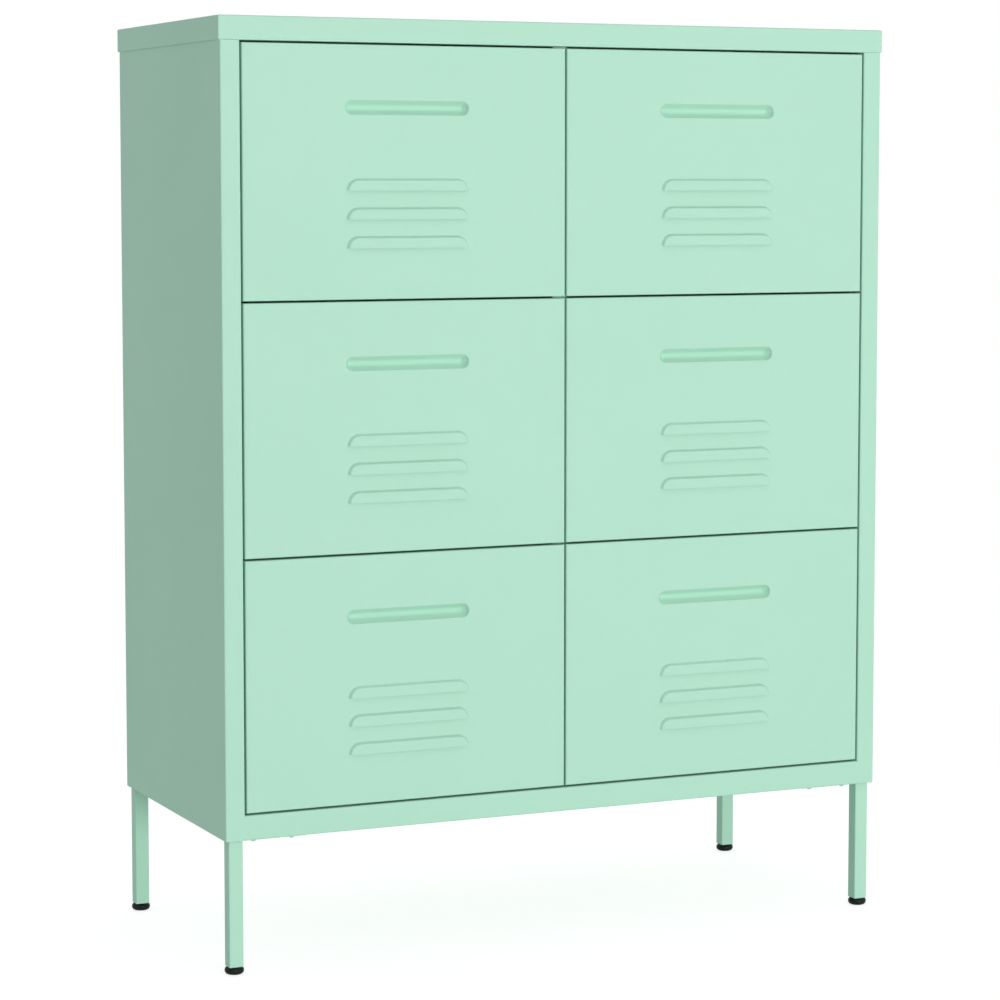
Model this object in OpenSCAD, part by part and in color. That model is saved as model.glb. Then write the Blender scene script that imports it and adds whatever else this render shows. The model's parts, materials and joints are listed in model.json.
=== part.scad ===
// Small steel drawer cabinet on four square legs, with two columns of three
// drawers. The body and the drawers are folded from thin painted sheet, and each
// drawer runs on a pair of ball-bearing slides. Millimetres, Z up, the front
// towards -Y. The origin is on the floor under the middle of the whole cabinet.

/* [Cabinet] */
// Overall width, across the lid
cabinet_w = 800; // [740:10:960]
// Overall depth, from the louvres to the screw heads at the back
cabinet_d = 350; // [340:5:450]
// Overall height, from the floor to the top of the lid
cabinet_h = 1015; // [950:5:1200]
// Thickness of the sheet steel
sheet = 0.8; // [0.7:0.05:0.9]
// Outside radius of a fold in the sheet
fold_r = 1.6; // [1.4:0.1:2]
// How far the lid stands past each side panel
lid_overhang = 1.6; // [1.3:0.1:3]
// Height of the lid's skirt
lid_skirt = 25.7; // [20:0.1:40]
// Width of the stile at each side of the front
stile_w = 21.6; // [20:0.2:30]
// Height of the rail under the drawers
rail_h = 26.5; // [24:0.5:40]

/* [Legs] */
// Height of the body above the floor
leg_h = 145.5; // [80:0.5:220]
// Outside width of the square leg tube
leg_tube = 16; // [14:1:20]
// Wall of the leg tube
leg_wall = 1.2; // [1:0.1:1.5]
// Length of the plate welded on top of each leg
leg_plate_l = 88; // [80:1:110]
// Diameter of the round foot
foot_d = 21; // [18:0.5:24]
// Height of the round foot
foot_h = 8.5; // [7:0.5:12]

/* [Drawers] */
// Gap round each drawer front
gap = 2.2; // [1.5:0.1:3]
// Depth of a drawer front, from its face to its back
front_t = 16; // [16:0.5:20]
// Height of a drawer's side walls
box_h = 180; // [100:5:185]
// How far a drawer slides out
travel = 230; // [150:5:235]

/* [Handles] */
// Length of the finger recess
handle_len = 145; // [110:1:180]
// Height of the finger recess
handle_h = 17; // [15:0.5:20]
// Depth of the finger recess
handle_depth = 14; // [12:0.5:14.5]
// Height of the recess above the middle of the drawer front
handle_up = 68.5; // [62:0.5:90]

/* [Louvres] */
// Length of a louvre
louvre_len = 142; // [100:1:200]
// Height of a louvre, from its open lip to its top
louvre_h = 13; // [10:0.5:16]
// How far a louvre stands out of the drawer front
louvre_proud = 4; // [3.5:0.1:5]
// Distance from one louvre to the next
louvre_pitch = 30.5; // [24:0.5:34]
// Depth of the top louvre's upper edge below the middle of the front
louvre_down = 6.3; // [2:0.1:12]

/* [Hidden] */
$fn = 48;
ROWS = ["bottom", "middle", "top"];
COLUMNS = ["left", "right"];
PLACES = [for (row = ROWS) for (column = COLUMNS) str(row, "_", column)];
DRAWER_PIECES = ["front", "handle_cup", "box", "drawer_rails", "drawer_screws", "ball_cages", "slide_channels"];

// Colours
PAINT = "#bae4d0";
STEEL = "#c9cdd0";
BLACK = "#1a211f";

// Planes of the body
screw_head_h = 1.6;
y_face = -cabinet_d / 2 + louvre_proud;
y_back = cabinet_d / 2 - screw_head_h;
y_body = y_back - sheet;
side_x = cabinet_w / 2 - lid_overhang;
open_x = side_x - stile_w;
rail_top = leg_h + rail_h;
skirt_z = cabinet_h - lid_skirt;

// Flanges folded inwards along the edges of the body sheets
stile_return = 18;
rear_return = stile_w - fold_r;
lid_lip = 15;
bottom_lip = 24;
floor_flange = 18;
side_lip = 15;
notch = 1;

// Drawer fronts and boxes
front_w = (2 * open_x - 3 * gap) / 2;
front_h = round(10 * (skirt_z - rail_top - 4 * gap) / 3) / 10;
front_x = (front_w + gap) / 2;
front_side_lip = 32;
front_edge_lip = 12;
box_lip = 8;
box_lift = 6;
y_box = y_face + front_t;

// Slides: a channel on the cabinet, a rail on the drawer and a ball cage between
slide_w = 12.7;
slide_gauge = 1.2;
slide_up = 25;
slide_len = 10 * floor((y_body - y_box - 26) / 10);
ball_r = 2;
ball_gap = 0.05;
ball_x = ball_r + ball_gap + slide_gauge;
ball_z = 14;
rail_z = 12.4;
rail_tip = 3;
cage_x = 2;
cage_t = 0.6;
cage_h = 30;
cage_len = 110;
cage_y = y_box + 5 + travel / 2;
ball_count = 6;
rivet_head_d = 6.5;
rivet_head_h = 0.5;
rivet_len = 3.2;
stop_len = 7.7;
stop_h = 16;
stop_w = 7;

// Uprights that carry the slides
post_w = 30;
post_at = [y_box + 8, y_box + slide_len - 38];
partition_w = 18;
closed_gap = 0.5;

// Box between a pair of slides
box_out = open_x - slide_w;
box_in = partition_w / 2 + slide_w;
box_w = box_out - box_in;
box_x = (box_out + box_in) / 2;
box_l = slide_len;

// Legs and feet
leg_plate_t = 1.2;
leg_plate_in = 0.6;
leg_corner = 1.5;
leg_in_side = 4.6;
leg_in_front = 4.4;
leg_in_back = 2;
leg_x = side_x - leg_in_side - leg_tube / 2;
leg_y = [y_face + leg_in_front + leg_tube / 2, y_back - leg_in_back - leg_tube / 2];
leg_screw_at = [30.5, 74];
stem_l = 14;
fit = 0.1;

// Screws
screw_d = 3.5;
screw_head_d = 8;
screw_slot_l = 4.2;
screw_slot_w = 0.9;
screw_slot_t = 1;
leg_screw_head_h = 3;
screw_l = 6;
back_screw_z = [for (i = [0:5]) rail_top + 30 + i * (skirt_z - rail_top - 60) / 5];
back_screw_x = side_x - 11;
rib_r = 4;
rib_x = side_x / 2;

// Round-ended recess and louvre sections
rim_r = 1.4;
rim_neck = 2;
cup_r = handle_h / 2 - rim_r + sheet + fit;
cup_flange = 4;
louvre_r = 2;
louvre_mid = louvre_r - sheet / 2;

// ---- Sheet-metal shapes ------------------------------------------------------

// One quarter of a fold, round its own centre
module quarter_fold(r) {
    intersection() {
        difference() {
            circle(r);
            circle(r - sheet);
        }
        translate([0, -2 * r]) square(2 * r);
    }
}

// Section of a folded strip, drawn along its middle line. The runs are the flat
// lengths and the turns say which way it folds between them, 1 left, -1 right.
module folded(runs, turns, r = fold_r, i = 0) {
    side = i < len(turns) && turns[i] < 0 ? 1 : 0;
    mid = r - sheet / 2;
    translate([0, -sheet / 2]) square([runs[i], sheet]);
    if (i < len(turns))
        translate([runs[i], 0]) mirror([0, side]) {
            translate([0, mid]) quarter_fold(r);
            translate([mid, mid]) rotate(90) mirror([0, side]) folded(runs, turns, r, i + 1);
        }
}

module rounded_square(w, h, r) {
    translate([-w / 2 + r, -h / 2]) square([w - 2 * r, h]);
    translate([-w / 2, -h / 2 + r]) square([w, h - 2 * r]);
    for (x = [-1, 1]) for (y = [-1, 1])
        translate([x * (w / 2 - r), y * (h / 2 - r)]) circle(r);
}

// Block standing on z = 0 whose top and bottom edges are rounded like folds
module fold_block(w, l, d, r) {
    translate([0, 0, d / 2]) intersection() {
        rotate([90, 0, 0]) linear_extrude(l, center = true) rounded_square(w, d, r);
        rotate([90, 0, 90]) linear_extrude(w, center = true) rounded_square(l, d, r);
    }
}

// Tray of sheet with its skin down and a lip folded in along each upper edge
module tray(w, l, d, lip_x, lip_y) {
    difference() {
        fold_block(w, l, d, fold_r);
        translate([0, 0, sheet]) fold_block(w - 2 * sheet, l - 2 * sheet, d - 2 * sheet, fold_r - sheet);
        translate([-w / 2 + lip_x, -l / 2 + lip_y, d - 2 * fold_r])
            cube([w - 2 * lip_x, l - 2 * lip_y, 3 * fold_r]);
    }
}

// Sweeps a half section, drawn outwards from a slot's middle line with its second
// axis along +Y, round the whole of a slot with round ends
module round_ended(span) {
    for (s = [-1, 1]) {
        translate([s * span / 2, 0, 0]) rotate([-90, 0, 0]) rotate(-90 * s) rotate_extrude(angle = 180) children();
        mirror([0, 0, s < 0 ? 1 : 0]) rotate([0, -90, 0]) linear_extrude(span, center = true) children();
    }
}

// Domed screw with a cross slot, pointing along +Z with its head's underside at z = 0
module screw(head_h, shank_l) {
    dome_r = (screw_head_d * screw_head_d / 4 + head_h * head_h) / (2 * head_h);
    cylinder(d = screw_d, h = shank_l);
    difference() {
        intersection() {
            translate([0, 0, dome_r - head_h]) sphere(dome_r, $fn = 96);
            translate([0, 0, -head_h]) cylinder(d = screw_head_d + 1, h = head_h);
        }
        for (a = [0, 90]) rotate(a)
            translate([-screw_slot_l / 2, -screw_slot_w / 2, -2 * head_h])
                cube([screw_slot_l, screw_slot_w, head_h + screw_slot_t]);
    }
}

// Clearance hole for a screw or rivet placed in the same way
module screw_hole() {
    translate([0, 0, -screw_l / 2]) cylinder(d = screw_d + 2 * fit, h = 1.5 * screw_l);
}

// ---- Cabinet -----------------------------------------------------------------

module lid() {
    color(PAINT) translate([0, (y_face + y_back) / 2, cabinet_h]) mirror([0, 0, 1])
        tray(cabinet_w, y_back - y_face, lid_skirt, sheet, lid_lip);
}

// Side wall, front stile and rear return, folded from one sheet
module side_panel() {
    web_h = cabinet_h - sheet - leg_h;
    depth = y_body - y_face;
    difference() {
        translate([0, 0, leg_h]) linear_extrude(web_h)
            translate([open_x + sheet / 2, y_face + stile_return]) rotate(-90)
                folded([stile_return - fold_r, stile_w - 2 * fold_r, depth - 2 * fold_r, rear_return - fold_r], [1, 1, 1]);
        // Above the stile the lid's skirt takes over, in front and behind
        translate([0, y_face - notch, skirt_z]) cube([cabinet_w, lid_lip + 2 * notch, lid_skirt]);
        translate([0, y_body - lid_lip, skirt_z]) cube([cabinet_w, lid_lip + notch, lid_skirt]);
        // Beside the rail the stile is cut back to its flat, and butts against the rail
        translate([0, y_face - notch, leg_h - notch]) cube([open_x + fold_r, stile_return + 2 * notch, rail_h + notch]);
    }
    translate([side_x - side_lip, y_face + bottom_lip, leg_h])
        cube([side_lip - sheet / 2, depth - 2 * bottom_lip, sheet]);
}

module right_side_panel() {
    color(PAINT) difference() {
        side_panel();
        back_screw_holes();
    }
}

module left_side_panel() {
    color(PAINT) difference() {
        mirror([1, 0, 0]) side_panel();
        back_screw_holes();
    }
}

// Floor of the drawer bays, with the front rail, rear rail and bottom lips in one
module bottom_panel() {
    depth = y_body - y_face;
    rail_run = rail_h - 2 * fold_r;
    lip_run = bottom_lip - fold_r;
    inner_w = 2 * (side_x - sheet);
    color(PAINT) difference() {
        union() {
            rotate([90, 0, 90]) linear_extrude(2 * (open_x + fold_r), center = true)
                translate([y_face + bottom_lip, leg_h + sheet / 2]) rotate(180)
                    folded([lip_run, rail_run, depth - 2 * fold_r, rail_run, lip_run], [-1, -1, -1, -1]);
            translate([0, (y_face + y_body) / 2, 0]) rotate([90, 0, 0])
                linear_extrude(depth - 2 * bottom_lip, center = true)
                    translate([-inner_w / 2 + sheet / 2, rail_top - floor_flange]) rotate(90)
                        folded([floor_flange - fold_r, inner_w - 2 * fold_r, floor_flange - fold_r], [-1, -1]);
        }
        leg_screw_places() screw_hole();
        back_screw_holes();
    }
}

// Back sheet, screwed on from behind, with two stiffening ribs pressed inwards
module back_panel() {
    z0 = leg_h + 3;
    h = skirt_z - 1 - z0;
    half_w = side_x - 2;
    color(PAINT) difference() {
        union() {
            translate([-half_w, y_body, z0]) cube([2 * half_w, sheet, h]);
            for (x = [-rib_x, rib_x])
                translate([x, y_body + sheet, z0 + 40]) cylinder(r = rib_r, h = h - 80);
        }
        for (x = [-rib_x, rib_x])
            translate([x, y_body + sheet, z0 + 40 + sheet]) cylinder(r = rib_r - sheet, h = h - 80 - 2 * sheet);
        translate([-half_w, y_back, z0]) cube([2 * half_w, rib_r + 1, h]);
        back_screw_holes();
    }
}

// Hollow upright between the two columns, notched under the lid's rear lip
module centre_partition() {
    length = y_body - y_box - closed_gap;
    color(PAINT) difference() {
        translate([0, y_body - length / 2, rail_top]) linear_extrude(cabinet_h - sheet - rail_top) difference() {
            rounded_square(partition_w, length, fold_r);
            rounded_square(partition_w - 2 * sheet, length - 2 * sheet, fold_r - sheet);
        }
        translate([-partition_w, y_body - lid_lip, skirt_z]) cube([2 * partition_w, lid_lip + notch, lid_skirt]);
        slide_rivet_places() screw_hole();
    }
}

// Channel-section uprights inside each side panel, one near each end of the slides
module slide_posts() {
    reach = side_x - sheet - open_x;
    color(PAINT) difference() {
        for (s = [0, 1]) mirror([s, 0, 0]) for (y = post_at)
            translate([0, 0, rail_top]) linear_extrude(cabinet_h - sheet - rail_top)
                translate([side_x - sheet, y + sheet / 2]) rotate(180)
                    folded([reach - fold_r, post_w - 2 * fold_r, reach - fold_r], [-1, -1]);
        slide_rivet_places() screw_hole();
    }
}

module leg(s, y) {
    bottom = leg_h - leg_plate_t;
    color(PAINT) mirror([s < 0 ? 1 : 0, 0, 0]) difference() {
        union() {
            translate([leg_x, y, foot_h]) linear_extrude(bottom - foot_h) difference() {
                rounded_square(leg_tube, leg_tube, leg_corner);
                rounded_square(leg_tube - 2 * leg_wall, leg_tube - 2 * leg_wall, leg_corner - leg_wall);
            }
            translate([leg_x + (leg_tube - leg_plate_l) / 2 - leg_plate_in, y - sign(y) * leg_plate_in, bottom])
                linear_extrude(leg_plate_t) rounded_square(leg_plate_l, leg_tube, leg_corner);
        }
        for (at = leg_screw_at)
            translate([leg_x + leg_tube / 2 - at, y, bottom]) screw_hole();
    }
}

// Round glide with a square stem pushed up into the leg tube
module foot(s, y) {
    stem_w = leg_tube - 2 * leg_wall - 2 * fit;
    color(BLACK) translate([s * leg_x, y, 0]) {
        rotate_extrude() {
            square([foot_d / 2 - foot_h / 2, foot_h]);
            intersection() {
                translate([foot_d / 2 - foot_h / 2, foot_h / 2]) circle(foot_h / 2);
                square([foot_d, foot_h]);
            }
        }
        translate([0, 0, foot_h - 1]) linear_extrude(stem_l + 1) rounded_square(stem_w, stem_w, 1);
    }
}

// ---- Fastenings --------------------------------------------------------------

module leg_screw_places() {
    for (s = [-1, 1]) for (y = leg_y) for (at = leg_screw_at)
        translate([s * (leg_x + leg_tube / 2 - at), y, leg_h - leg_plate_t]) children();
}

module leg_screws() {
    color(PAINT) leg_screw_places() screw(leg_screw_head_h, screw_l);
}

module back_screw_places() {
    for (s = [-1, 1]) for (z = back_screw_z)
        translate([s * back_screw_x, y_back, z]) rotate([90, 0, 0]) children();
    for (x = [-1, 0, 1])
        translate([x * side_x * 0.6, y_back, leg_h + rail_h / 2]) rotate([90, 0, 0]) children();
}

module back_screw_holes() {
    back_screw_places() screw_hole();
}

// Two rivets hold each slide channel, one at each post
module slide_rivet_places() {
    for (row = [0:2]) for (column = [0, 1]) slide_pair(row, column)
        for (y = post_at) translate([0, y + post_w / 2, 0]) rotate([0, -90, 0]) children();
}

module rivet() {
    translate([0, 0, -slide_gauge]) {
        translate([0, 0, -rivet_head_h]) cylinder(d = rivet_head_d, h = rivet_head_h);
        cylinder(d = screw_d, h = rivet_len);
    }
}

module body_screws() {
    color(STEEL) {
        back_screw_places() screw(screw_head_h, screw_l);
        slide_rivet_places() rivet();
    }
}

// ---- Slides ------------------------------------------------------------------

function drawer_z(row) = rail_top + gap + row * (front_h + gap);

// Places a slide at each side of one drawer. In the slide's own frame x = 0 is the
// face it is fixed to, x grows towards the drawer and z = 0 is its middle.
module slide_pair(row, column) {
    mirror([column == 0 ? 1 : 0, 0, 0]) translate([0, 0, drawer_z(row) + slide_up]) {
        translate([partition_w / 2, 0, 0]) children();
        translate([open_x, 0, 0]) mirror([1, 0, 0]) children();
    }
}

// Extrudes a section of the slide, drawn in x and z, along the slide
module along_slide(y, length) {
    translate([0, y + length, 0]) rotate([90, 0, 0]) linear_extrude(length) children();
}

// Channel whose edges curl over the balls
module channel_section() {
    translate([0, -ball_z]) square([slide_gauge, 2 * ball_z]);
    for (s = [0, 1]) mirror([0, s]) intersection() {
        translate([ball_x, ball_z]) difference() {
            circle(ball_r + ball_gap + slide_gauge);
            circle(ball_r + ball_gap);
        }
        translate([0, ball_z]) square(4 * ball_r);
    }
}

// Rail with a groove for the balls along each flange
module rail_section() {
    difference() {
        union() {
            translate([slide_w - slide_gauge, -rail_z]) square([slide_gauge, 2 * rail_z]);
            for (s = [0, 1]) mirror([0, s])
                translate([rail_tip, rail_z - slide_gauge]) square([slide_w - rail_tip, slide_gauge]);
        }
        for (s = [-1, 1]) translate([ball_x, s * ball_z]) circle(ball_r + ball_gap);
    }
}

module slide_channels(row, column) {
    color(STEEL) difference() {
        slide_pair(row, column) along_slide(y_box + closed_gap, slide_len - closed_gap) channel_section();
        slide_rivet_places() screw_hole();
    }
}

module drawer_rails(row, column) {
    color(STEEL) difference() {
        slide_pair(row, column) along_slide(y_box, slide_len - stop_len - 0.3) rail_section();
        drawer_screw_places(row, column) screw_hole();
    }
}

// Strip that keeps the balls apart, fused to them, one in each slide
module ball_cages(row, column) {
    color(STEEL) slide_pair(row, column) {
        translate([cage_x, cage_y, -cage_h / 2]) cube([cage_t, cage_len, cage_h]);
        for (s = [-1, 1]) for (i = [0:ball_count - 1])
            translate([ball_x, cage_y + (i + 0.5) * cage_len / ball_count, s * ball_z]) sphere(ball_r);
    }
}

// Rubber block at the back of every channel, which the rail closes against
module slide_stops() {
    color(BLACK) for (row = [0:2]) for (column = [0, 1]) slide_pair(row, column)
        translate([slide_gauge, y_box + slide_len - stop_len, -stop_h / 2]) cube([stop_w, stop_len, stop_h]);
}

// ---- Drawers -----------------------------------------------------------------

// Places a drawer's pieces. They are drawn for the right column, with x = 0 at the
// middle of the front and z = 0 at its lower edge; the left column mirrors them.
module drawer(row, column) {
    mirror([column == 0 ? 1 : 0, 0, 0]) translate([front_x, 0, drawer_z(row)]) children();
}

// Half section of a louvre, from its lip outwards: a raised hood that folds down
// to the face of the front and ends flush in it
module louvre_section() {
    translate([0, sheet / 2 - louvre_proud])
        folded([louvre_h - 2 * louvre_mid, louvre_proud - 2 * louvre_mid, 1], [1, -1], louvre_r);
}

// Hood with round upper corners, open along its lower lip
module louvre_hood() {
    span = louvre_len - 2 * louvre_h;
    rotate([0, -90, 0]) linear_extrude(span, center = true) louvre_section();
    for (s = [-1, 1])
        translate([s * span / 2, 0, 0]) rotate([-90, 0, 0]) rotate(s > 0 ? -90 : 180)
            rotate_extrude(angle = 90) louvre_section();
}

// Hole in the front behind a hood
module louvre_hole() {
    span = louvre_len - 2 * louvre_h;
    rotate([90, 0, 0]) linear_extrude(4 * sheet, center = true) intersection() {
        union() {
            translate([-span / 2, 0]) square([span, louvre_h]);
            for (s = [-1, 1]) translate([s * span / 2, 0]) circle(louvre_h);
        }
        translate([-louvre_len, 0]) square(2 * louvre_len);
    }
}

module louvre_places() {
    for (i = [0:2])
        translate([0, y_face, front_h / 2 - louvre_down - louvre_h - i * louvre_pitch]) children();
}

module handle_place() {
    translate([0, y_face, front_h / 2 + handle_up]) children();
}

// Edge of the recess, rolled back from the face and ending in a short neck
module rim_section() {
    translate([handle_h / 2, rim_r]) intersection() {
        difference() {
            circle(rim_r);
            circle(rim_r - sheet);
        }
        translate([-2 * rim_r, -2 * rim_r]) square(2 * rim_r);
    }
    translate([handle_h / 2, 0]) square([1, sheet]);
    translate([handle_h / 2 - rim_r, rim_r]) square([sheet, rim_neck]);
}

// Drawer front: one tray of sheet, with three louvres and the rim of the recess
module front(row, column) {
    span = handle_len - handle_h;
    color(PAINT) drawer(row, column) {
        difference() {
            translate([0, y_face, front_h / 2]) rotate([-90, 0, 0])
                tray(front_w, front_h, front_t, front_side_lip, front_edge_lip);
            louvre_places() louvre_hole();
            handle_place() round_ended(span) square([handle_h / 2, 2 * sheet]);
            drawer_front_screws() screw_hole();
        }
        louvre_places() louvre_hood();
        handle_place() round_ended(span) rim_section();
    }
}

// Half section of the finger cup: flange behind the front, wall and round bottom
module cup_section() {
    mid = fold_r - sheet / 2;
    bottom_y = handle_depth - cup_r;
    wall_x = cup_r + sheet / 2;
    flange_y = 1.5 * sheet;
    translate([wall_x + mid + cup_flange, flange_y]) rotate(180)
        folded([cup_flange, bottom_y - flange_y - mid], [-1]);
    translate([0, bottom_y]) intersection() {
        difference() {
            circle(cup_r + sheet);
            circle(cup_r);
        }
        square(2 * cup_r);
    }
}

module handle_cup(row, column) {
    color(PAINT) drawer(row, column) handle_place() round_ended(handle_len - handle_h) cup_section();
}

// Open drawer box, folded from one sheet, with its upper edges turned in
module box(row, column) {
    color(PAINT) difference() {
        drawer(row, column) translate([box_x - front_x, y_box + box_l / 2, box_lift])
            tray(box_w, box_l, box_h, box_lip, box_lip);
        drawer_screw_places(row, column) screw_hole();
    }
}

// Four screws from inside the box hold the front
module drawer_front_screws() {
    inner = box_in - front_x;
    outer = box_out - front_x;
    for (x = [(inner + front_side_lip - front_w / 2) / 2, (outer + front_w / 2 - front_side_lip) / 2])
        for (z = [box_lift + 30, box_lift + box_h - 30])
            translate([x, y_box + sheet, z]) rotate([90, 0, 0]) children();
}

// The same screws hold the rails to the box's sides, two at each side
module drawer_screw_places(row, column) {
    drawer(row, column) {
        drawer_front_screws() children();
        for (y = [y_box + 40, y_box + slide_len - 60]) {
            translate([box_in + sheet - front_x, y, slide_up]) rotate([0, -90, 0]) children();
            translate([box_out - sheet - front_x, y, slide_up]) rotate([0, 90, 0]) children();
        }
    }
}

module drawer_screws(row, column) {
    color(STEEL) drawer_screw_places(row, column) screw(screw_head_h, screw_l / 2);
}

// ---- Nodes -------------------------------------------------------------------

lid();
left_side_panel();
right_side_panel();
bottom_panel();
back_panel();
centre_partition();
slide_posts();
slide_stops();
body_screws();
leg_screws();
leg(-1, leg_y[0]);  // front_left_leg
leg(1, leg_y[0]);  // front_right_leg
leg(-1, leg_y[1]);  // rear_left_leg
leg(1, leg_y[1]);  // rear_right_leg
foot(-1, leg_y[0]);  // front_left_foot
foot(1, leg_y[0]);  // front_right_foot
foot(-1, leg_y[1]);  // rear_left_foot
foot(1, leg_y[1]);  // rear_right_foot
for (row = [0:2]) for (column = [0, 1]) {
    place = str(ROWS[row], "_", COLUMNS[column]);
    front(row, column);
    handle_cup(row, column);
    box(row, column);
    drawer_rails(row, column);
    drawer_screws(row, column);
    ball_cages(row, column);
    slide_channels(row, column);
}
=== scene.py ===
# %% [markdown]
# # A small steel drawer cabinet
# The cabinet is folded from thin sheet steel and powder-coated in a pale mint
# green. Its solids come ready made, each in its right place. This script gives
# them their finishes, lays back the folds that are pressed into the drawer
# fronts, and sets up the studio. Everything is in metres, Z is up and the
# drawers open towards -Y.

import json
import math

import bmesh
import bpy
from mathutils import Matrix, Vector

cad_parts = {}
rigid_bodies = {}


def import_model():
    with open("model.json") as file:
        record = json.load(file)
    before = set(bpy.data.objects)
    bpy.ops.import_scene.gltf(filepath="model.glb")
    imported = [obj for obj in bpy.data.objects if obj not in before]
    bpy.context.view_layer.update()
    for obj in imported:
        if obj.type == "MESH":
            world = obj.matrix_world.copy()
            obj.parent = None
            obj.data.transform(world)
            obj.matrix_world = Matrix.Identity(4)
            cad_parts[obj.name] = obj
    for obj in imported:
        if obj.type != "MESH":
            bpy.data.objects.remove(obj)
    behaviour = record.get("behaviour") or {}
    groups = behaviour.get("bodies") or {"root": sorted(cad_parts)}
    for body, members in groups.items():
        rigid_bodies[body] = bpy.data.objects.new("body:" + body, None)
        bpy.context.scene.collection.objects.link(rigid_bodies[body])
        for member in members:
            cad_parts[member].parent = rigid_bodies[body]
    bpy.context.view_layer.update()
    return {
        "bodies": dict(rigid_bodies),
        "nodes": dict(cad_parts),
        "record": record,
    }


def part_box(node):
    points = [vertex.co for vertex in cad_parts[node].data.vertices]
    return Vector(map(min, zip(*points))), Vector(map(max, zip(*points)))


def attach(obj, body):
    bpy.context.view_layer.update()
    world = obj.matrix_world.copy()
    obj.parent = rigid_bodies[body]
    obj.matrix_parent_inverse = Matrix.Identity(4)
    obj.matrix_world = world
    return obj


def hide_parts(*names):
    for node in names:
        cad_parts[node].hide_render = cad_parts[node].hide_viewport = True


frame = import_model()
parts = frame["nodes"]

# %% [markdown]
# ## The camera
# The picture is taken from the cabinet's front left, a little below the lid,
# with a long lens from about three and a half metres away. A long lens keeps
# the sides nearly parallel. The camera looks down by five degrees, and a small
# vertical shift brings the feet into the frame.

# %% Place the camera
CAMERA_AT = (-1.4685, -3.2124, 0.8389)
CAMERA_DOWN = math.radians(4.918)
CAMERA_TURN = math.radians(-24.545)
SENSOR_WIDTH, FOCAL_LENGTH = 36, 110.81  # millimetres
LENS_SHIFT = -0.05  # of the picture's width
SEES_AS_FAR_AS = 50

lens = bpy.data.cameras.new("camera")
lens.sensor_width = SENSOR_WIDTH
lens.lens = FOCAL_LENGTH
lens.shift_y = LENS_SHIFT
lens.clip_end = SEES_AS_FAR_AS
camera = bpy.data.objects.new("camera", lens)
camera.location = CAMERA_AT
camera.rotation_euler = (math.radians(90) - CAMERA_DOWN, 0, CAMERA_TURN)
bpy.context.scene.collection.objects.link(camera)
bpy.context.scene.camera = camera
print("camera at", CAMERA_AT, "lens", FOCAL_LENGTH, "mm")

# %% [markdown]
# ## Small helpers for node materials
# A node material is a graph. These helpers add a node, join two sockets, open a
# material that holds only a Principled shader, and make and place a group, so
# that the cells below read as a list of what each finish is made of.


# %% Helpers for the node graphs
def add_node(tree, kind, **values):
    """Adds a node. Plain names set its properties, and keys of inputs its sockets."""
    node = tree.nodes.new(kind)
    for socket, value in values.pop("inputs", {}).items():
        node.inputs[socket].default_value = value
    for name, value in values.items():
        setattr(node, name, value)
    return node


def join(tree, source, target):
    """Joins an output socket to an input socket."""
    tree.links.new(source, target)


def open_material(name):
    """A new material with a Principled shader, its graph and the shader."""
    material = bpy.data.materials.new(name)
    material.use_nodes = True
    tree = material.node_tree
    return material, tree, tree.nodes["Principled BSDF"]


def open_group(name, outputs, inputs):
    """A new node group. Each socket is a name and a type, and an input has a start value too."""
    tree = bpy.data.node_groups.new(name, "ShaderNodeTree")
    for socket, kind in outputs:
        tree.interface.new_socket(socket, in_out="OUTPUT", socket_type=kind)
    for socket, kind, value in inputs:
        made = tree.interface.new_socket(socket, in_out="INPUT", socket_type=kind)
        made.default_value = value
    return tree, tree.nodes.new("NodeGroupInput").outputs, tree.nodes.new("NodeGroupOutput").inputs


def use_group(tree, group, **values):
    """Places a group in a material, with its own values."""
    node = tree.nodes.new("ShaderNodeGroup")
    node.node_tree = group
    for socket, value in values.items():
        node.inputs[socket.replace("_", " ")].default_value = value
    return node


print("node helpers ready")

# %% [markdown]
# ## Effects that several finishes share
# Powder coat is sprayed on dry and melted in an oven, which leaves a very fine
# orange-peel surface. Every folded or cut edge is where a coat is thinnest and
# where it gets rubbed, and the mint coat is also painted lighter there, a painted
# highlight like the one a rounded edge catches. The first group makes a rippled
# surface from noise, and the second finds edges by comparing the true normal
# with one that is rounded over a small radius.

# %% Group for a rippled surface
FLOAT = "NodeSocketFloat"

ripple_group, given, made = open_group(
    "ripple",
    [("Height", FLOAT), ("Mask", FLOAT)],
    [("Scale", FLOAT, 400.0), ("Patch Scale", FLOAT, 6.0)],
)
place = add_node(ripple_group, "ShaderNodeTexCoord").outputs["Object"]
fine = add_node(ripple_group, "ShaderNodeTexNoise", inputs={"Detail": 2.0, "Roughness": 0.55})
patch = add_node(ripple_group, "ShaderNodeTexNoise", inputs={"Detail": 4.0, "Roughness": 0.6})
for noise, scale in ((fine, "Scale"), (patch, "Patch Scale")):
    join(ripple_group, place, noise.inputs["Vector"])
    join(ripple_group, given[scale], noise.inputs["Scale"])
join(ripple_group, fine.outputs["Fac"], made["Height"])
join(ripple_group, patch.outputs["Fac"], made["Mask"])
print("ripple group ready")
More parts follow.
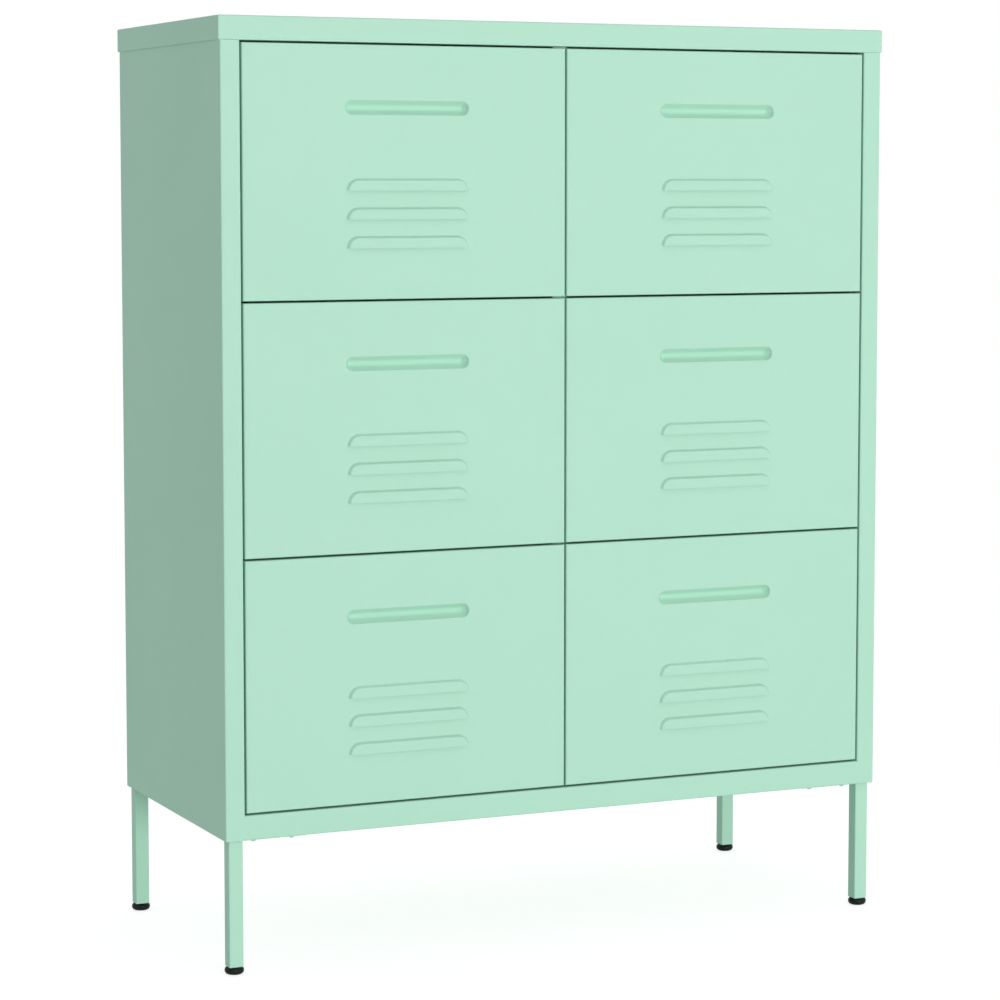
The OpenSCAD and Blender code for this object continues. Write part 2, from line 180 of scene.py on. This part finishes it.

# %% Group that finds the edges for wear and for the painted edge highlight
wear_and_highlight_edge_group, given, made = open_group(
    "worn_and_highlit_edges", [("Mask", FLOAT)], [("Radius", FLOAT, 0.0008), ("Break Up", FLOAT, 60.0)]
)
rounded = add_node(wear_and_highlight_edge_group, "ShaderNodeBevel", samples=4)
join(wear_and_highlight_edge_group, given["Radius"], rounded.inputs["Radius"])
true_normal = add_node(wear_and_highlight_edge_group, "ShaderNodeNewGeometry").outputs["True Normal"]
facing = add_node(wear_and_highlight_edge_group, "ShaderNodeVectorMath", operation="DOT_PRODUCT")
join(wear_and_highlight_edge_group, rounded.outputs["Normal"], facing.inputs[0])
join(wear_and_highlight_edge_group, true_normal, facing.inputs[1])
bend = add_node(
    wear_and_highlight_edge_group,
    "ShaderNodeMapRange",
    inputs={"From Min": 0.995, "From Max": 0.9, "To Min": 0.0, "To Max": 1.0},
)
join(wear_and_highlight_edge_group, facing.outputs["Value"], bend.inputs["Value"])
place = add_node(wear_and_highlight_edge_group, "ShaderNodeTexCoord").outputs["Object"]
rub = add_node(wear_and_highlight_edge_group, "ShaderNodeTexNoise", inputs={"Detail": 5.0, "Roughness": 0.65})
join(wear_and_highlight_edge_group, place, rub.inputs["Vector"])
join(wear_and_highlight_edge_group, given["Break Up"], rub.inputs["Scale"])
spots = add_node(
    wear_and_highlight_edge_group,
    "ShaderNodeMapRange",
    inputs={"From Min": 0.35, "From Max": 0.7, "To Min": 0.0, "To Max": 1.0},
)
join(wear_and_highlight_edge_group, rub.outputs["Fac"], spots.inputs["Value"])
both = add_node(wear_and_highlight_edge_group, "ShaderNodeMath", operation="MULTIPLY")
join(wear_and_highlight_edge_group, bend.outputs["Result"], both.inputs[0])
join(wear_and_highlight_edge_group, spots.outputs["Result"], both.inputs[1])
join(wear_and_highlight_edge_group, both.outputs["Value"], made["Mask"])
print("edge group ready")

# %% [markdown]
# ## Mint powder coat
# The coat is one even pale green. What keeps it from looking like a flat fill
# is a drift of tone of about one percent over a hand's width, a satin gloss
# that varies a little, a fine orange peel, and edges that are slightly lighter.
# The lighter edges are partly rubbed coat and partly a painted highlight.
# The gloss is weak, because at a low angle a white room would wash out the green.


# %% Helpers for colours, noise and bumps
def mix_colours(tree, mask, first, second):
    """Mixes two colours, fixed or from a socket, by a mask.

    The Mix node's colours are its inputs 6 and 7 and its output 2."""
    mix = add_node(tree, "ShaderNodeMix", data_type="RGBA")
    join(tree, mask, mix.inputs["Factor"])
    for socket, colour in ((mix.inputs[6], first), (mix.inputs[7], second)):
        if isinstance(colour, tuple):
            socket.default_value = colour
        else:
            join(tree, colour, socket)
    return mix.outputs[2]


def spread(tree, value, low, high):
    """Stretches the middle of a noise to run from low to high."""
    node = add_node(
        tree,
        "ShaderNodeMapRange",
        inputs={"From Min": 0.3, "From Max": 0.7, "To Min": low, "To Max": high},
    )
    join(tree, value, node.inputs["Value"])
    return node.outputs["Result"]


def bump(tree, height, distance, strength, shader):
    """Raises the shader's surface by a height, in metres."""
    node = add_node(tree, "ShaderNodeBump", inputs={"Distance": distance, "Strength": strength})
    join(tree, height, node.inputs["Height"])
    join(tree, node.outputs["Normal"], shader.inputs["Normal"])


print("finish helpers ready")

# %% Make the powder coat
MINT = (0.473, 0.766, 0.612, 1)
MINT_DRIFT = (0.462, 0.756, 0.6, 1)
# A lighter mint for the edges: partly rubbed coat, partly a painted highlight.
MINT_EDGE_HIGHLIGHT = (0.54, 0.81, 0.675, 1)
EDGE_HIGHLIGHT_SHARE = 0.55
COAT_ROUGHNESS = (0.4, 0.48)
COAT_GLOSS = 0.04
PEEL_HEIGHT, PEEL_STRENGTH = 0.00006, 0.35

powder_coat, tree, shader = open_material("mint_powder_coat")
skin = use_group(tree, ripple_group, Scale=420.0, Patch_Scale=5.0)
edges = use_group(tree, wear_and_highlight_edge_group, Radius=0.0009, Break_Up=45.0)
drift = spread(tree, skin.outputs["Mask"], 0.0, 1.0)
body_colour = mix_colours(tree, drift, MINT, MINT_DRIFT)
# The edges are painted lighter, partly as rubbed coat and partly as a painted highlight.
edge_highlight = add_node(tree, "ShaderNodeMath", operation="MULTIPLY", inputs={1: EDGE_HIGHLIGHT_SHARE})
join(tree, edges.outputs["Mask"], edge_highlight.inputs[0])
coat_colour = mix_colours(tree, edge_highlight.outputs["Value"], body_colour, MINT_EDGE_HIGHLIGHT)
join(tree, coat_colour, shader.inputs["Base Color"])
join(tree, spread(tree, skin.outputs["Mask"], *COAT_ROUGHNESS), shader.inputs["Roughness"])
shader.inputs["Specular IOR Level"].default_value = COAT_GLOSS
bump(tree, skin.outputs["Height"], PEEL_HEIGHT, PEEL_STRENGTH, shader)
print("powder coat ready")

# %% [markdown]
# ## Zinc-plated steel
# The slides, rivets and screws are plated. Zinc is bright but not polished. It
# has the faint lines of rolled strip along its length, and its passivation
# gives it patches that lean to blue and to straw yellow.

# %% Make the zinc plate
ZINC_BLUE = (0.55, 0.58, 0.62, 1)
ZINC_STRAW = (0.64, 0.62, 0.56, 1)
ZINC_ROUGHNESS = (0.22, 0.4)
LINE_STRETCH = (1.0, 0.02, 1.0)
LINE_HEIGHT, LINE_STRENGTH = 0.00003, 0.4

zinc, tree, shader = open_material("zinc_plate")
shader.inputs["Metallic"].default_value = 1.0
skin = use_group(tree, ripple_group, Scale=900.0, Patch_Scale=28.0)
patches = spread(tree, skin.outputs["Mask"], 0.0, 1.0)
join(tree, mix_colours(tree, patches, ZINC_BLUE, ZINC_STRAW), shader.inputs["Base Color"])
place = add_node(tree, "ShaderNodeTexCoord").outputs["Object"]
stretch = add_node(tree, "ShaderNodeMapping", inputs={"Scale": LINE_STRETCH})
join(tree, place, stretch.inputs["Vector"])
lines = add_node(tree, "ShaderNodeTexNoise", inputs={"Scale": 1800.0, "Detail": 3.0})
join(tree, stretch.outputs["Vector"], lines.inputs["Vector"])
join(tree, spread(tree, lines.outputs["Fac"], *ZINC_ROUGHNESS), shader.inputs["Roughness"])
bump(tree, lines.outputs["Fac"], LINE_HEIGHT, LINE_STRENGTH, shader)
print("zinc ready")

# %% [markdown]
# ## Black plastic and rubber
# The feet are moulded in black plastic with a fine spark-eroded texture. Their
# rims pick up a little grey from the floor. The stops inside are soft rubber,
# which is duller and a touch warmer. Both get a weak gloss, because a white
# room would turn a glossy black to grey.


# %% Make the black plastic and the rubber
BLACK_GLOSS = 0.12
GRAIN_HEIGHT, GRAIN_STRENGTH = 0.00008, 0.5


def make_black(name, body, rubbed, roughness, grain):
    """A black moulding, with a grain and edges rubbed grey."""
    material, tree, shader = open_material(name)
    skin = use_group(tree, ripple_group, Scale=grain, Patch_Scale=40.0)
    edges = use_group(tree, wear_and_highlight_edge_group, Radius=0.0007, Break_Up=220.0)
    join(tree, mix_colours(tree, edges.outputs["Mask"], body, rubbed), shader.inputs["Base Color"])
    join(tree, spread(tree, skin.outputs["Mask"], *roughness), shader.inputs["Roughness"])
    shader.inputs["Specular IOR Level"].default_value = BLACK_GLOSS
    bump(tree, skin.outputs["Height"], GRAIN_HEIGHT, GRAIN_STRENGTH, shader)
    return material


black_plastic = make_black(
    "black_plastic",
    body=(0.008, 0.014, 0.012, 1),
    rubbed=(0.035, 0.042, 0.04, 1),
    roughness=(0.36, 0.5),
    grain=1500.0,
)
rubber = make_black(
    "rubber",
    body=(0.02, 0.019, 0.018, 1),
    rubbed=(0.045, 0.043, 0.04, 1),
    roughness=(0.6, 0.78),
    grain=700.0,
)
print("black plastic and rubber ready")

# %% Give every solid its finish
FINISHES = {"paint": powder_coat, "steel": zinc, "black_plastic": black_plastic, "rubber": rubber}
slot_of = {part["node"]: part["material_slot"] for part in frame["record"]["subparts"]}
for name, part in parts.items():
    for slot in part.material_slots:
        slot.material = FINISHES[slot_of[name]]
print({slot: list(slot_of.values()).count(slot) for slot in FINISHES})

# %% [markdown]
# ## Shallow folds in the drawer fronts
# The solids turn the sheet by a quarter round the louvres and the recess. The
# pressed sheet turns by less, by 62 degrees at the louvres and to a slope of
# 4 in 3 at the recess, so the shaded bands round the louvres are wider, and the
# recess is shallower and lighter. The next cells take a copy of each front and
# each finger cup, and turn every fold back to those slopes. A section has two
# measures: out from the louvre's lip or from the recess's middle line, and deep
# from the face of the front.

# %% Measures of the louvres
SHEET = 0.0008  # thickness of the steel
NEAR = 0.00005  # how far off an edge a point may be and still count as on it
SAME_POINT = 0.0000001  # how close two points are that count as one

LOUVRES = 3
LOUVRE_LEN, LOUVRE_PITCH = 0.142, 0.0305
LOUVRE_PROUD = 0.004  # how far a louvre stands out of the face
LOUVRE_LIP_DOWN = 0.0193  # the top louvre's lip, below the middle of the front
LOUVRE_H, LOUVRE_NEW_H = 0.013, 0.0135  # from the lip to where it ends in the face
LOUVRE_R = 0.002  # outside radius of a louvre's folds
LOUVRE_SLOPE = math.radians(62)
print("the louvres' folds turn by", round(math.degrees(LOUVRE_SLOPE), 1), "degrees")

# %% Measures of the recess
RECESS_LEN, RECESS_H = 0.145, 0.017
RECESS_UP = 0.0685  # above the middle of the front
RECESS_SLOPE = math.atan2(4, 3)
RECESS_SHARE = RECESS_SLOPE / math.radians(90)  # of the angle of each of its folds
RIM_R = 0.0014  # outside radius of the fold round the opening
RIM_NECK, RIM_NEW_NECK = 0.002, 0.0006  # from that fold to the edge of the sheet
CUP_DEPTH, CUP_NEW_DEPTH = 0.014, 0.009  # from the face to the cup's bottom
CUP_R = 0.008  # inside radius of the round bottom
CUP_FOLD_R = 0.0016  # outside radius of the fold at the cup's flange
CUP_GAP = 0.0001  # between the rim and the cup
print("the recess's folds turn by", round(math.degrees(RECESS_SLOPE), 1), "degrees")


# %% Turn a fold back
def turn_fold(out, deep, centre, new_centre, side, slope, share, thinner=0.0):
    """A point of a quarter fold, turned back to a slope, and the angle it turned by.

    The side says where the fold starts and which way it goes from its centre. A
    point keeps a share of its angle, and past the slope it runs on straight."""
    angle = math.atan2(side[0] * (out - centre[0]), side[1] * (deep - centre[1]))
    radius = math.hypot(out - centre[0], deep - centre[1]) - thinner
    turned = min(share * angle, slope)
    run = radius * (share * angle - turned)
    new_out = new_centre[0] + side[0] * (radius * math.sin(turned) + run * math.cos(turned))
    new_deep = new_centre[1] + side[1] * (radius * math.cos(turned) - run * math.sin(turned))
    return new_out, new_deep, side[0] * side[1] * (turned - angle)


print("folds ready")


# %% The louvre's section
def louvre_section(out, deep):
    """A flat hood, a fold down, a flank, and a fold that ends in the face.

    The folds keep their angle up to the slope, so the hood's inner side still
    leaves the plane of the face at a point that is in that plane."""
    if out > LOUVRE_H + NEAR or deep > SHEET + NEAR:
        return None
    mid = LOUVRE_R - SHEET / 2
    flank = (LOUVRE_PROUD - 2 * mid * (1 - math.cos(LOUVRE_SLOPE))) / math.sin(LOUVRE_SLOPE)
    flat = LOUVRE_H - 2 * mid
    new_flat = LOUVRE_NEW_H - 2 * mid * math.sin(LOUVRE_SLOPE) - flank * math.cos(LOUVRE_SLOPE)
    upper, lower = LOUVRE_R - LOUVRE_PROUD, SHEET - LOUVRE_R
    if deep > (upper + lower) / 2:
        old, new = (LOUVRE_H, lower), (LOUVRE_NEW_H, lower)
        return turn_fold(out, deep, old, new, (-1, 1), LOUVRE_SLOPE, 1.0)
    if out > flat:
        old, new = (flat, upper), (new_flat, upper)
        return turn_fold(out, deep, old, new, (1, -1), LOUVRE_SLOPE, 1.0)
    return out * new_flat / flat, deep, 0.0


flat_end = louvre_section(LOUVRE_H - 2 * LOUVRE_R + SHEET, -LOUVRE_PROUD)[0]
print("the louvre's flat is", round(flat_end, 4), "m")


# %% The sections of the recess's rim and cup
def rim_section(out, deep):
    """A fold back from the face and a short neck."""
    edge = RECESS_H / 2
    if out > edge + NEAR or deep > RIM_R + RIM_NECK + NEAR:
        return None
    down_neck = max(0.0, deep - RIM_R)
    centre = (edge, RIM_R)
    new_out, new_deep, turned = turn_fold(
        out, deep - down_neck, centre, centre, (-1, -1), RECESS_SLOPE, RECESS_SHARE
    )
    run = down_neck * RIM_NEW_NECK / RIM_NECK
    return new_out - run * math.cos(RECESS_SLOPE), new_deep + run * math.sin(RECESS_SLOPE), turned


def cup_section(out, deep):
    """A flange behind the front, a fold, a flank and a round bottom.

    The cup's fold starts just far enough out to clear the rim, and its bottom
    gets the radius that meets both flanks at the new depth."""
    sine, cosine = math.sin(RECESS_SLOPE), math.cos(RECESS_SLOPE)
    fold_at = (CUP_R + CUP_FOLD_R, SHEET + CUP_FOLD_R)
    if out > fold_at[0] + NEAR:
        return None
    step = (CUP_FOLD_R - RIM_R + SHEET) * (1 - cosine) + CUP_GAP
    new_edge = RECESS_H / 2 + step / sine
    new_bend = (new_edge * sine - (CUP_NEW_DEPTH - SHEET) * cosine) / (1 - cosine) - CUP_FOLD_R
    if deep > CUP_DEPTH - CUP_R - NEAR:
        old, new = (0.0, CUP_DEPTH - CUP_R), (0.0, CUP_NEW_DEPTH - new_bend)
        return turn_fold(out, deep, old, new, (1, 1), RECESS_SLOPE, RECESS_SHARE, CUP_R - new_bend)
    new = (new_edge, fold_at[1])
    return turn_fold(out, deep, fold_at, new, (-1, -1), RECESS_SLOPE, RECESS_SHARE)


print("the cup's bottom is", round(cup_section(0.0, CUP_DEPTH)[1], 4), "m deep")


# %% [markdown]
# A louvre's section sweeps along the middle line of its lip and round its ends,
# and the section of the recess sweeps all the way round. So a point belongs to
# the nearest place on that middle line, and what counts is how far out of it
# the point lies. The normals turn by the same angle as the sheet does. A solid's
# triangles are loose along its edges, so the copy is merged first, and every
# corner keeps the normal that it had.


# %% Copy a solid and turn its folds back
def swept(point, normals, line, section):
    """Moves a point by a section that sweeps along a line. Turns its normals too.

    A line is its middle, half its length, half its new length, and whether the
    section sweeps round below it too."""
    middle, half, new_half, both_sides = line
    across, up = point.x - middle.x, point.z - middle.z
    on_line = max(-half, min(half, across))
    out = math.hypot(across - on_line, up)
    found = section(out, point.y - middle.y) if both_sides or up > -NEAR else None
    if found is None:
        return False
    new_out, new_deep, turned = found
    way = Vector(((across - on_line) / out, 0, up / out)) if out > SAME_POINT else Vector((0, 0, 1))
    along = Vector((way.z, 0, -way.x))
    point.x = middle.x + on_line * new_half / half + way.x * new_out
    point.y = middle.y + new_deep
    point.z = middle.z + way.z * new_out
    for normal in normals:
        outwards, inwards, sideways = normal.dot(way), normal.y, normal.dot(along)
        new_outwards = outwards * math.cos(turned) + inwards * math.sin(turned)
        normal.xyz = way * new_outwards + along * sideways
        normal.y = inwards * math.cos(turned) - outwards * math.sin(turned)
    return True


def merged_copy(name):
    """A copy of a solid, its loose triangles merged, with the normal of each corner."""
    mesh = parts[name].data.copy()
    kept = mesh.attributes.new("kept_normal", "FLOAT_VECTOR", "CORNER")
    values = [value for corner in mesh.corner_normals for value in corner.vector]
    kept.data.foreach_set("vector", values)
    shape = bmesh.new()
    shape.from_mesh(mesh)
    bmesh.ops.remove_doubles(shape, verts=shape.verts, dist=SAME_POINT)
    shape.to_mesh(mesh)
    shape.free()
    normals = [corner.vector.copy() for corner in mesh.attributes["kept_normal"].data]
    mesh.attributes.remove(mesh.attributes["kept_normal"])
    return mesh, normals


def press(name, body, lines_and_sections):
    """A copy of a solid, with its folds turned back, that stands in for the solid."""
    mesh, normals = merged_copy(name)
    normals_at = [[] for _ in mesh.vertices]
    for corner, normal in zip(mesh.loops, normals):
        normals_at[corner.vertex_index].append(normal)
    moved = 0
    for vertex in mesh.vertices:
        for line, section in lines_and_sections:
            if swept(vertex.co, normals_at[vertex.index], line, section):
                moved += 1
                break
    mesh.normals_split_custom_set(normals)
    piece = bpy.data.objects.new("pressed_" + name, mesh)
    bpy.context.scene.collection.objects.link(piece)
    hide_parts(name)
    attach(piece, body)
    return moved


print("pressing ready")

# %% Press the fronts and their cups
louvre_half = LOUVRE_LEN / 2 - LOUVRE_H
louvre_new_half = LOUVRE_LEN / 2 - LOUVRE_NEW_H
recess_half = (RECESS_LEN - RECESS_H) / 2
drawers = [body for body in frame["bodies"] if body.startswith("drawer_")]
for drawer in drawers:
    place = drawer.removeprefix("drawer_")
    low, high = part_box("front_" + place)
    middle = Vector(((low[0] + high[0]) / 2, low[1] + LOUVRE_PROUD, (low[2] + high[2]) / 2))
    recess = (middle + Vector((0, 0, RECESS_UP)), recess_half, recess_half, True)
    louvres = []
    for row in range(LOUVRES):
        lip = middle - Vector((0, 0, LOUVRE_LIP_DOWN + row * LOUVRE_PITCH))
        louvres.append(((lip, louvre_half, louvre_new_half, False), louvre_section))
    moved = press("front_" + place, drawer, [*louvres, (recess, rim_section)])
    cup_moved = press("handle_cup_" + place, drawer, [(recess, cup_section)])
    print(place, moved, "points of the front and", cup_moved, "of the cup")

# %% [markdown]
# ## The studio
# The cabinet stands on a white floor in a white room. The room is a plain pale
# world that only the lens and the reflections see at full white. The floor is
# a matt surface that throws plain light back at the cabinet. To the lens it is
# part matt and part white glow, in shares that add up to white where nothing
# shades it, so that a soft shadow shows near the cabinet and fades outwards.

# %% White room
WALL_LIGHT, CEILING_LIGHT = 0.555, 0.46
WALL_UP_TO, CEILING_FROM = 0.2, 0.9  # where 0 is level and 1 is overhead


def seen_directly(tree):
    """One for what the lens sees, straight or in a reflection, and zero for plain light."""
    sees = add_node(tree, "ShaderNodeLightPath").outputs
    reflected = add_node(tree, "ShaderNodeMath", operation="MAXIMUM")
    join(tree, sees["Is Glossy Ray"], reflected.inputs[0])
    join(tree, sees["Is Transmission Ray"], reflected.inputs[1])
    either = add_node(tree, "ShaderNodeMath", operation="MAXIMUM")
    join(tree, sees["Is Camera Ray"], either.inputs[0])
    join(tree, reflected.outputs["Value"], either.inputs[1])
    return either.outputs["Value"]


world = bpy.data.worlds.new("white_room")
bpy.context.scene.world = world
world.use_nodes = True
tree = world.node_tree
tree.nodes.clear()
soft = add_node(tree, "ShaderNodeBackground", inputs={"Color": (1, 1, 1, 1)})
direction = add_node(tree, "ShaderNodeTexCoord").outputs["Generated"]
split = add_node(tree, "ShaderNodeSeparateXYZ")
join(tree, direction, split.inputs["Vector"])
height = add_node(
    tree,
    "ShaderNodeMapRange",
    inputs={
        "From Min": WALL_UP_TO,
        "From Max": CEILING_FROM,
        "To Min": WALL_LIGHT,
        "To Max": CEILING_LIGHT,
    },
)
join(tree, split.outputs["Z"], height.inputs["Value"])
join(tree, height.outputs["Result"], soft.inputs["Strength"])
white = add_node(tree, "ShaderNodeBackground", inputs={"Color": (1, 1, 1, 1), "Strength": 1.0})
choose = add_node(tree, "ShaderNodeMixShader")
join(tree, seen_directly(tree), choose.inputs["Fac"])
join(tree, soft.outputs["Background"], choose.inputs[1])
join(tree, white.outputs["Background"], choose.inputs[2])
join(tree, choose.outputs["Shader"], add_node(tree, "ShaderNodeOutputWorld").inputs["Surface"])
print("room light", WALL_LIGHT, "to", CEILING_LIGHT)

# %% Lay the floor
FLOOR_SIZE = 12.0

bpy.ops.mesh.primitive_plane_add(size=FLOOR_SIZE)
floor = bpy.context.object
floor.name = "floor"
print("floor", FLOOR_SIZE, "m square")

# %% Paint the floor so that it fades into the white
FLOOR_WHITE = 0.93
SHADOW_SHARE = 0.5  # the matt share of the floor near the cabinet
LIT_LEVEL = 0.46  # how bright the matt floor is where nothing shades it
FADE_FROM, FADE_TO = 0.5, 1.6  # metres from the middle of the cabinet

floor_paint = bpy.data.materials.new("white_floor")
floor_paint.use_nodes = True
tree = floor_paint.node_tree
tree.nodes.clear()


def calculate(tree, operation, first, second, third=0.0):
    """A Math node. Each of its inputs is a number or comes from a socket."""
    node = add_node(tree, "ShaderNodeMath", operation=operation)
    for socket, value in zip(node.inputs, (first, second, third)):
        if isinstance(value, float):
            socket.default_value = value
        else:
            join(tree, value, socket)
    return node.outputs["Value"]


place = add_node(tree, "ShaderNodeTexCoord").outputs["Object"]
away = add_node(tree, "ShaderNodeVectorMath", operation="LENGTH")
join(tree, place, away.inputs[0])
share = add_node(
    tree,
    "ShaderNodeMapRange",
    interpolation_type="SMOOTHSTEP",
    inputs={"From Min": FADE_FROM, "From Max": FADE_TO, "To Min": SHADOW_SHARE, "To Max": 0.0},
)
join(tree, away.outputs["Value"], share.inputs["Value"])
seen = seen_directly(tree)
unshaded = calculate(tree, "MULTIPLY_ADD", share.outputs["Result"], -LIT_LEVEL, 1.0)
glow = add_node(tree, "ShaderNodeEmission", inputs={"Color": (1, 1, 1, 1)})
join(tree, calculate(tree, "MULTIPLY", unshaded, seen), glow.inputs["Strength"])
fainter = calculate(tree, "SUBTRACT", share.outputs["Result"], 1.0)
white_part = calculate(tree, "MULTIPLY_ADD", fainter, seen, 1.0)
matt = add_node(tree, "ShaderNodeBsdfDiffuse")
join(tree, calculate(tree, "MULTIPLY", white_part, FLOOR_WHITE), matt.inputs["Color"])
both = add_node(tree, "ShaderNodeAddShader")
join(tree, matt.outputs["BSDF"], both.inputs[0])
join(tree, glow.outputs["Emission"], both.inputs[1])
join(tree, both.outputs["Shader"], add_node(tree, "ShaderNodeOutputMaterial").inputs["Surface"])
floor.data.materials.append(floor_paint)
print("the floor fades from", FADE_FROM, "to", FADE_TO, "m")

# %% [markdown]
# ## The lamps
# One large soft box stands in front of the cabinet and a little to its right.
# It lights the fronts evenly and leaves the left side about half as bright,
# which is what shows the cabinet's depth. A weak one behind keeps the back
# from going grey.


# %% Hang the soft boxes
def soft_box(name, at, towards, size, power):
    """A flat lamp, wide and high, that the lens itself doesn't see."""
    lamp = bpy.data.lights.new(name, "AREA")
    lamp.shape = "RECTANGLE"
    lamp.size, lamp.size_y = size
    lamp.energy = power
    holder = bpy.data.objects.new(name, lamp)
    holder.location = at
    holder.rotation_euler = (Vector(towards) - Vector(at)).to_track_quat("-Z", "Y").to_euler()
    holder.visible_camera = False
    bpy.context.scene.collection.objects.link(holder)
    print(name, "at", at, "with", power, "W")


AIM = (0, 0, 0.5)
soft_box("key_lamp", at=(0.6, -6.0, 0.62), towards=AIM, size=(3.2, 1.15), power=165)
soft_box("back_lamp", at=(2.0, 5.2, 1.3), towards=AIM, size=(2.8, 2.0), power=80)

# %% [markdown]
# ## The picture's settings
# The Standard view shows each colour as it is written.

# %% Finish
bpy.context.scene.view_settings.view_transform = "Standard"
